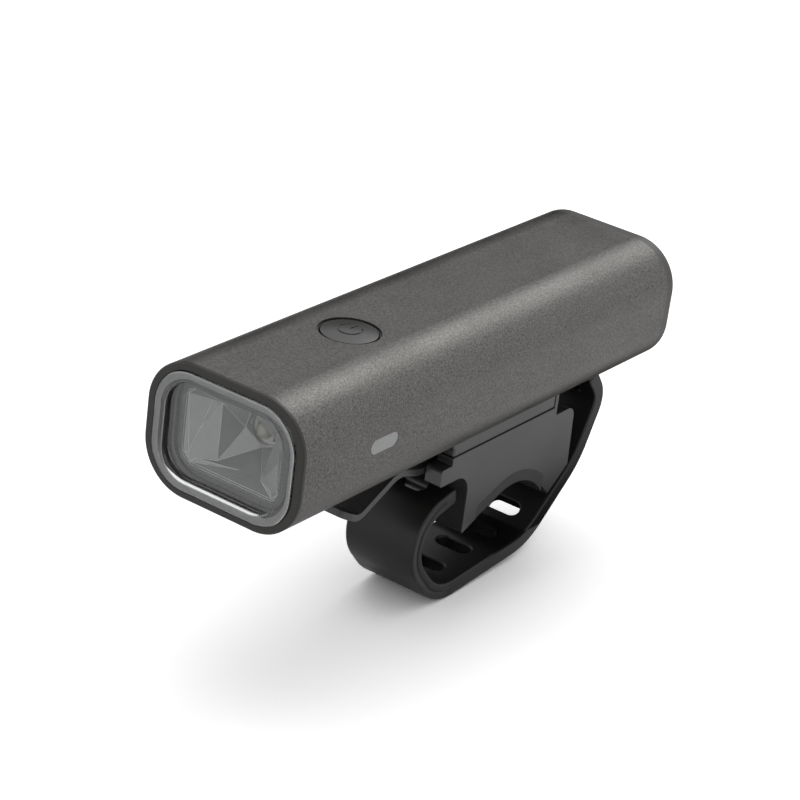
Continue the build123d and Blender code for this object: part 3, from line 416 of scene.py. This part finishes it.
PLAIN_FINISHES = {
    "bezel_plastic": dict(colour=(0.021, 0.02, 0.018), roughness=0.4, grain=0.2 * MM, edge=0.12 * MM,
                          level=0.35),
    "cap_plastic": dict(colour=(0.045, 0.044, 0.043), roughness=0.45, grain=0.2 * MM, edge=0.1 * MM),
    "seal_rubber": dict(colour=(0.02, 0.02, 0.02), roughness=0.6),
    "seal_silicone": dict(colour=(0.17, 0.17, 0.17), roughness=0.4),
    "ring_plastic": dict(colour=(0.02, 0.02, 0.02), roughness=0.18, depth=0.001 * MM),
    "bracket_plastic": dict(colour=(0.02, 0.02, 0.0205), roughness=0.36, grain=0.25 * MM, depth=0.008 * MM,
                            edge=0.2 * MM, level=0.75),
    "pad_rubber": dict(colour=(0.017, 0.017, 0.018), roughness=0.55, grain=0.3 * MM, edge=0.15 * MM),
    "strap_rubber": dict(colour=(0.0065, 0.0062, 0.006), roughness=0.42, grain=0.35 * MM, depth=0.006 * MM,
                         level=0.35),
    "cover_rubber": dict(colour=(0.03, 0.03, 0.03), roughness=0.5, edge=0.12 * MM),
    "fastener_steel": dict(colour=(0.42, 0.42, 0.43), roughness=0.3, metallic=1.0, change=0.05),
    "pin_steel": dict(colour=(0.5, 0.5, 0.51), roughness=0.25, metallic=1.0, change=0.05),
    "emitter_board": dict(colour=(0.7, 0.7, 0.68), roughness=0.4),
    "sink_metal": dict(colour=(0.6, 0.6, 0.61), roughness=0.45, metallic=1.0),
    "inner_plastic": dict(colour=(0.04, 0.04, 0.04), roughness=0.5),
    "switch_plastic": dict(colour=(0.03, 0.03, 0.03), roughness=0.4),
    "indicator_clear": dict(colour=(0.6, 0.6, 0.58), roughness=0.2),
    "tab_nickel": dict(colour=(0.58, 0.57, 0.54), roughness=0.25, metallic=1.0, change=0.04),
    "socket_steel": dict(colour=(0.5, 0.5, 0.51), roughness=0.28, metallic=1.0, change=0.05),
}
MADE_FINISHES = [body_metal, lens_clear, window_plastic, reflector_metal, emitter_phosphor, button_rubber,
                 board_laminate, cell_sleeve]


def make_finishes():
    """Every slot's material by name."""
    made = {name: finish(name, **values).material for name, values in PLAIN_FINISHES.items()}
    made.update({make.__name__: make().material for make in MADE_FINISHES})
    return made


def dress(finishes):
    """Gives each CAD node the finish of its own slot."""
    for part in frame["record"]["subparts"]:
        for slot in nodes[part["node"]].material_slots:
            slot.material = finishes[part["material_slot"]]


# Pieces in mesh code

def in_scene(name, data):
    """A new object in the scene."""
    made = bpy.data.objects.new(name, data)
    bpy.context.scene.collection.objects.link(made)
    return made


def as_object(shape, name):
    """The finished mesh as an object of the scene, with its faces turned outward."""
    bmesh.ops.recalc_face_normals(shape, faces=shape.faces)
    mesh = bpy.data.meshes.new(name)
    shape.to_mesh(mesh)
    shape.free()
    return in_scene(name, mesh)


# Strap

def rounded_line(points, rounds):
    """A line through points with its corners rounded to arcs, as a fine list of points."""
    corners = [Vector(p) for p in points]
    line = [corners[0]]
    for before, corner, after, radius in zip(corners, corners[1:], corners[2:], rounds):
        start = (before - corner).normalized()
        end = (after - corner).normalized()
        half = acos(max(-1, min(1, start.dot(end)))) / 2
        reach = radius / tan(half)
        centre = corner + (start + end).normalized() * radius / sin(half)
        arm = corner + start * reach - centre
        turn = pi - 2 * half
        if start.x * end.y - start.y * end.x > 0:
            turn = -turn
        for step in range(ARC_STEPS + 1):
            angle = turn * step / ARC_STEPS
            line.append(centre + Matrix.Rotation(angle, 2) @ arm)
    line.append(corners[-1])
    return line


def stadium(middle, width, height):
    """A slot outline with round ends, long across the strap."""
    radius = height / 2
    reach = width / 2 - radius
    outline = []
    for side in (1, -1):
        for step in range(ARC_STEPS + 1):
            angle = pi * step / ARC_STEPS
            outline.append((middle + side * radius * cos(angle), side * (reach + radius * sin(angle))))
    return outline


def rounded_outline(corners, radius):
    """A closed outline with all its corners rounded."""
    middle = tuple((a + b) / 2 for a, b in zip(corners[0], corners[-1]))
    return rounded_line([middle, *corners, middle], [radius] * len(corners))[:-1]


def strap_outlines(length):
    """The outlines of the flat strap with its fork, of its slots and of its hook slot, in millimetres."""
    end = STRAP_THICKNESS / 2
    side = STRAP_WIDTH / 2
    fork = FORK_GAP / 2
    corners = [(-end, -side), (length + end, -side), (length + end, -fork), (length - FORK_LENGTH, -fork),
               (length - FORK_LENGTH, fork), (length + end, fork), (length + end, side), (-end, side)]
    outlines = [rounded_outline(corners, STRAP_CORNER)]
    for index in range(SLOT_COUNT):
        middle = length * (SLOT_START_SHARE + index * SLOT_STEP_SHARE)
        outlines.append(stadium(middle, SLOT_WIDTH, SLOT_HEIGHT))
    hook = HOOK_SLOT_WIDTH / 2
    outlines.append(rounded_outline([(HOOK_SLOT_START, -hook), (HOOK_SLOT_END, -hook), (HOOK_SLOT_END, hook),
                                     (HOOK_SLOT_START, hook)], STRAP_CORNER / 2))
    return outlines


def flat_strap(length):
    """The strap cut flat to its thickness, with softened edges, in millimetres."""
    curve = bpy.data.curves.new("strap_outline", "CURVE")
    curve.dimensions = "2D"
    curve.fill_mode = "BOTH"
    curve.extrude = STRAP_THICKNESS / 2 - STRAP_EDGE
    curve.bevel_depth = STRAP_EDGE
    curve.bevel_resolution = 3
    curve.offset = -STRAP_EDGE
    for outline in strap_outlines(length):
        spline = curve.splines.new("POLY")
        spline.points.add(len(outline) - 1)
        for point, (along, across) in zip(spline.points, outline):
            point.co = (along, across, 0, 1)
        spline.use_cyclic_u = True
    carrier = in_scene("strap_flat", curve)
    bpy.context.view_layer.update()
    mesh = bpy.data.meshes.new_from_object(carrier.evaluated_get(bpy.context.evaluated_depsgraph_get()))
    bpy.data.objects.remove(carrier)
    return mesh


def cut(shape, place, normal):
    """New edges where a plane crosses the mesh."""
    bmesh.ops.bisect_plane(shape, geom=shape.verts[:] + shape.edges[:] + shape.faces[:], dist=CUT_REACH,
                           plane_co=place, plane_no=normal)


def strap_route():
    """The strap's middle line and the length run at each of its points, in millimetres."""
    points = [(y * LOOP_REACH, z * LOOP_REACH) for y, z in STRAP_LINE_SHARES] + [STRAP_PIN]
    line = np.array([tuple(p) for p in rounded_line(points, STRAP_ROUNDS)])
    runs = np.hypot(*np.diff(line, axis=0).T)
    return line, np.concatenate([[0], np.cumsum(runs)])


def route_point(along, line, stations):
    """The route's point at a length along it, which is an end's own point beyond that end."""
    return np.array([np.interp(along, stations, line[:, axis]) for axis in (0, 1)])


def seam_depth(along, across, off, length):
    """How far a point of the strap is pushed in by the seam of its doubled front end."""
    doubled = SPLIT_START_SHARE * length < along < SPLIT_END_SHARE * length
    at_edge = abs(across) > STRAP_WIDTH / 2 - STRAP_EDGE
    return SPLIT_DEPTH if doubled and at_edge and abs(off) < 1.5 * SPLIT_HALF else 0


def bent(along, across, off, line, stations):
    """A point of the flat strap where it lies on the bent one, whose ends are rounded, in metres."""
    held = min(max(along, 0), stations[-1])
    beyond = along - held
    off *= sqrt(max(0, 1 - (beyond / (STRAP_THICKNESS / 2)) ** 2))
    near, far = [route_point(held + step, line, stations) for step in (-STRAP_STEP / 2, STRAP_STEP / 2)]
    run = (far - near) / hypot(*(far - near))
    y, z = route_point(held, line, stations)
    y += run[0] * beyond - run[1] * off
    z += run[1] * beyond + run[0] * off
    return across * MM, y * MM, z * MM


def strap_piece():
    """The rubber strap: the flat cut, bent round its route, with the seam of its doubled front end."""
    line, stations = strap_route()
    length = stations[-1]
    mesh = flat_strap(length)
    shape = bmesh.new()
    shape.from_mesh(mesh)
    bmesh.ops.remove_doubles(shape, verts=shape.verts, dist=WELD_REACH)
    for index in range(int(length / STRAP_STEP) + 1):
        cut(shape, (index * STRAP_STEP, 0, 0), (1, 0, 0))
    # The seam's groove lies between the two inner lines, and the outer two keep the faces beside it flat
    for height in (-2 * SPLIT_HALF, -SPLIT_HALF, SPLIT_HALF, 2 * SPLIT_HALF):
        cut(shape, (0, 0, height), (0, 0, 1))
    for vertex in shape.verts:
        along, across, off = vertex.co
        across -= copysign(seam_depth(along, across, off, length), across)
        vertex.co = bent(along, across, off, line, stations)
    bmesh.ops.remove_doubles(shape, verts=shape.verts, dist=BENT_WELD_REACH)
    bmesh.ops.dissolve_degenerate(shape, edges=shape.edges, dist=BENT_WELD_REACH)
    bmesh.ops.recalc_face_normals(shape, faces=shape.faces)
    if shape.calc_volume(signed=True) < 0:
        bmesh.ops.reverse_faces(shape, faces=shape.faces)
    shape.to_mesh(mesh)
    shape.free()
    mesh.shade_smooth()
    strap = in_scene("strap_band", mesh)
    keep = strap.modifiers.new("normals", "WEIGHTED_NORMAL")
    keep.keep_sharp = True
    return strap


# Rings about the lamp's axis

def rounded_box_line(width, height, radius):
    """The outline of a rounded rectangle about the axis, in millimetres."""
    line = []
    for turn, (side_x, side_z) in enumerate(((1, 1), (-1, 1), (-1, -1), (1, -1))):
        for step in range(ARC_STEPS + 1):
            angle = (turn + step / ARC_STEPS) * pi / 2
            line.append((side_x * (width / 2 - radius) + radius * cos(angle),
                         side_z * (height / 2 - radius) + radius * sin(angle)))
    return line


def round_line(radius):
    """The outline of a circle about the axis, in millimetres."""
    angles = [step / ARC_STEPS * pi / 2 for step in range(4 * ARC_STEPS)]
    return [(radius * cos(angle), radius * sin(angle)) for angle in angles]


def ring_at(shape, line, y):
    """An outline's points as vertices of the shape, at a station along the lamp in millimetres."""
    return [shape.verts.new((x * MM, y * MM, (z + AXIS_Z) * MM)) for x, z in line]


# Lens gasket

def gasket_piece():
    """The silicone ring under the lens rim, a hair off the glass so that light reaches it."""
    shape = bmesh.new()
    inner, outer = rounded_box_line(*GASKET_INNER), rounded_box_line(*GASKET_OUTER)
    loops = [ring_at(shape, line, y) for line, y in ((inner, GASKET_BACK_Y), (inner, GASKET_FRONT_Y),
                                                     (outer, GASKET_FRONT_Y), (outer, GASKET_BACK_Y))]
    for first, second in zip(loops, loops[1:] + loops[:1]):
        for index in range(len(first)):
            after = (index + 1) % len(first)
            shape.faces.new((first[index], first[after], second[after], second[index]))
    return as_object(shape, "gasket_ring")


# Reflector

def join(shape, first, second):
    """Triangles between two rings about the lamp's axis, which may differ in their number of points."""
    rings = []
    for ring in (first, second):
        turned = sorted((atan2(v.co.z - AXIS_Z * MM, v.co.x), i) for i, v in enumerate(ring))
        angles = [angle for angle, _ in turned]
        rings.append(([ring[i] for _, i in turned], angles[1:] + [angles[0] + 2 * pi, 4 * pi]))
    (near, near_angles), (far, far_angles) = rings
    i = j = 0
    while i < len(near) or j < len(far):
        here, there = near[i % len(near)], far[j % len(far)]
        if i < len(near) and (j == len(far) or near_angles[i] < far_angles[j]):
            shape.faces.new((here, near[(i + 1) % len(near)], there))
            i += 1
        else:
            shape.faces.new((here, far[(j + 1) % len(far)], there))
            j += 1


def facet_vertices(shape):
    """A vertex for each facet corner on both sides, with those in the middle shared."""
    corners = {}
    for name, (x, z, depth) in FACET_CORNERS.items():
        for side in (1, -1):
            if x or side > 0:
                place = (side * x * MM, (REFLECTOR_FRONT_Y + depth) * MM, (z + AXIS_Z) * MM)
                corners[name, side] = shape.verts.new(place)
            else:
                corners[name, side] = corners[name, 1]
    return corners


def roll_creases(shape, inner, edge_rings):
    """Rolls the creases between facets, but not the rings where the facets end."""
    creases = []
    for edge in shape.edges:
        ends = set(edge.verts)
        at_ring = any(ends <= set(ring) for ring in edge_rings)
        if ends <= inner and not at_ring and edge.calc_face_angle(0) > CREASE_ANGLE:
            creases.append(edge)
    bmesh.ops.bevel(shape, geom=creases, offset=FACET_EDGE * MM, segments=3, profile=0.5, affect="EDGES",
                    clamp_overlap=True)


def reflector_piece():
    """The metallised cup with its lip, its shelf and its large facets with rolled edges."""
    shape = bmesh.new()
    corners = facet_vertices(shape)
    for facet in FACETS:
        for side in (1, -1):
            shape.faces.new([corners[name, side] for name in facet])
    mouth, throat = [[corners[name, 1] for name in ring] + [corners[name, -1] for name in ring[-2:0:-1]]
                     for ring in (MOUTH_RING, THROAT_RING)]
    lip, rim, body, neck = [rounded_box_line(*section) for section in
                            (REFLECTOR_LIP, REFLECTOR_RIM, REFLECTOR_BODY, REFLECTOR_NECK)]
    hole = round_line(EMITTER_HOLE_RADIUS)
    outside = [ring_at(shape, line, REFLECTOR_FRONT_Y + depth) for line, depth in (
        (lip, LIP_DEPTH), (lip, 0), (rim, 0), (rim, FLANGE_DEPTH), (body, FLANGE_DEPTH), (neck, REAR_DEPTH),
        (hole, REAR_DEPTH), (hole, THROAT_DEPTH))]
    rings = [mouth, *outside, throat]
    for first, second in zip(rings, rings[1:]):
        join(shape, first, second)
    roll_creases(shape, set(corners.values()), (mouth, throat))
    return as_object(shape, "reflector_cup")


# Stage, camera and light

def add_camera():
    """The photograph's camera, aimed from the middle of the bezel's front."""
    low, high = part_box("front_bezel")
    aim = Vector((0, low.y, (low.z + high.z) / 2))
    back = Vector((sin(AZIMUTH) * cos(ELEVATION), -cos(AZIMUTH) * cos(ELEVATION), sin(ELEVATION)))
    level_right = Vector((cos(AZIMUTH), sin(AZIMUTH), 0))
    level_up = back.cross(level_right)
    right = cos(ROLL) * level_right + sin(ROLL) * level_up
    up = -sin(ROLL) * level_right + cos(ROLL) * level_up
    data = bpy.data.cameras.new("camera")
    data.sensor_width = SENSOR_WIDTH
    data.lens = FOCAL_PIXELS / PHOTO_WIDTH * SENSOR_WIDTH
    data.clip_start = CLIP_START
    camera = in_scene("camera", data)
    turn = Matrix((right, up, back)).transposed()
    place = aim + SLIDE_RIGHT * right + SLIDE_UP * up + DISTANCE * back
    camera.matrix_world = Matrix.Translation(place) @ turn.to_4x4()
    bpy.context.scene.camera = camera


def add_square(name, size, z=0):
    """A level square in the scene."""
    half = size / 2
    mesh = bpy.data.meshes.new(name)
    mesh.from_pydata([(x * half, y * half, z) for x, y in ((-1, -1), (1, -1), (1, 1), (-1, 1))], [],
                     [(0, 1, 2, 3)])
    return in_scene(name, mesh)


def facing(place, aim):
    """Where a lamp or a card stands so that it faces a point."""
    toward = Vector(aim) - Vector(place)
    return Matrix.Translation(place) @ toward.to_track_quat("-Z", "Y").to_matrix().to_4x4()


def add_floor():
    """A plain white floor just under the object."""
    low, _ = cad_box
    floor = add_square("floor", FLOOR_SIZE, low[2] - FLOOR_GAP)
    made = Material("floor_white")
    made.set(Base_Color=FLOOR_COLOUR, Roughness=STAGE_MATT, Specular_IOR_Level=FLOOR_SHEEN)
    made.seen_white(FLOOR_SEEN)
    floor.data.materials.append(made.material)


def add_world():
    """White to the camera and in reflections, and a plain soft level as light."""
    world = bpy.data.worlds.new("studio")
    bpy.context.scene.world = world
    world.use_nodes = True
    shading = Shading(world.node_tree)
    shading.tree.nodes.clear()
    levels = []
    for strength in (WORLD_STRENGTH, 1):
        level = shading.node("ShaderNodeBackground")
        level.inputs["Color"].default_value = WHITE
        level.inputs["Strength"].default_value = strength
        levels.append(level.outputs["Background"])
    path = shading.node("ShaderNodeLightPath")
    seen = path.outputs["Is Camera Ray"]
    for name in ("Is Glossy Ray", "Is Transmission Ray"):
        either = shading.node("ShaderNodeMath", operation="MAXIMUM")
        shading.link(seen, either.inputs[0])
        shading.link(path.outputs[name], either.inputs[1])
        seen = either.outputs["Value"]
    output = shading.node("ShaderNodeOutputWorld")
    shading.link(shading.blend(seen, *levels), output.inputs["Surface"])


def add_lamp(name, place, size, power):
    """A soft square lamp that faces the body."""
    data = bpy.data.lights.new(name, "AREA")
    data.size = size
    data.energy = power
    in_scene(name, data).matrix_world = facing(place, STAGE_AIM)


def add_flag(name, place, aim, size):
    """A dark card that only reflections see; the card under the lamp is painted shade."""
    flag = add_square(name, size)
    flag.matrix_world = facing(place, aim)
    made = Material(name)
    made.set(Base_Color=FLAG_AND_PAINTED_SHADE_COLOUR, Roughness=STAGE_MATT, Specular_IOR_Level=0.0)
    flag.data.materials.append(made.material)
    flag.visible_camera = False
    flag.visible_diffuse = False
    flag.visible_transmission = False
    flag.visible_shadow = False


bpy.context.scene.view_settings.view_transform = "Standard"

finishes = make_finishes()
dress(finishes)

strap = strap_piece()
strap.data.materials.append(finishes["strap_rubber"])
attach(strap, "strap")
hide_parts("strap")

gasket = gasket_piece()
gasket.data.materials.append(finishes["seal_silicone"])
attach(gasket, "lamp")
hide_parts("lens_seal")

cup = reflector_piece()
cup.data.materials.append(finishes["reflector_metal"])
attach(cup, "lamp")
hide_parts("reflector")

add_camera()
add_floor()
add_world()
add_lamp("softbox_rear", place=(-0.05, 0.66, 0.64), size=0.5, power=1.2)
add_lamp("softbox_top", place=(-0.1, 0.1, 0.9), size=1.0, power=3.0)
add_flag("flag_left", place=(-0.28, 0.28, 0.06), aim=STAGE_AIM, size=0.36)
# Painted shade: a dark card under the lamp, seen only in reflections, stands in for the floor's shade there
add_flag("flag_under_painted_shade", place=(-0.03, 0.05, 0.0), aim=(-0.03, 0.05, 1), size=0.1)
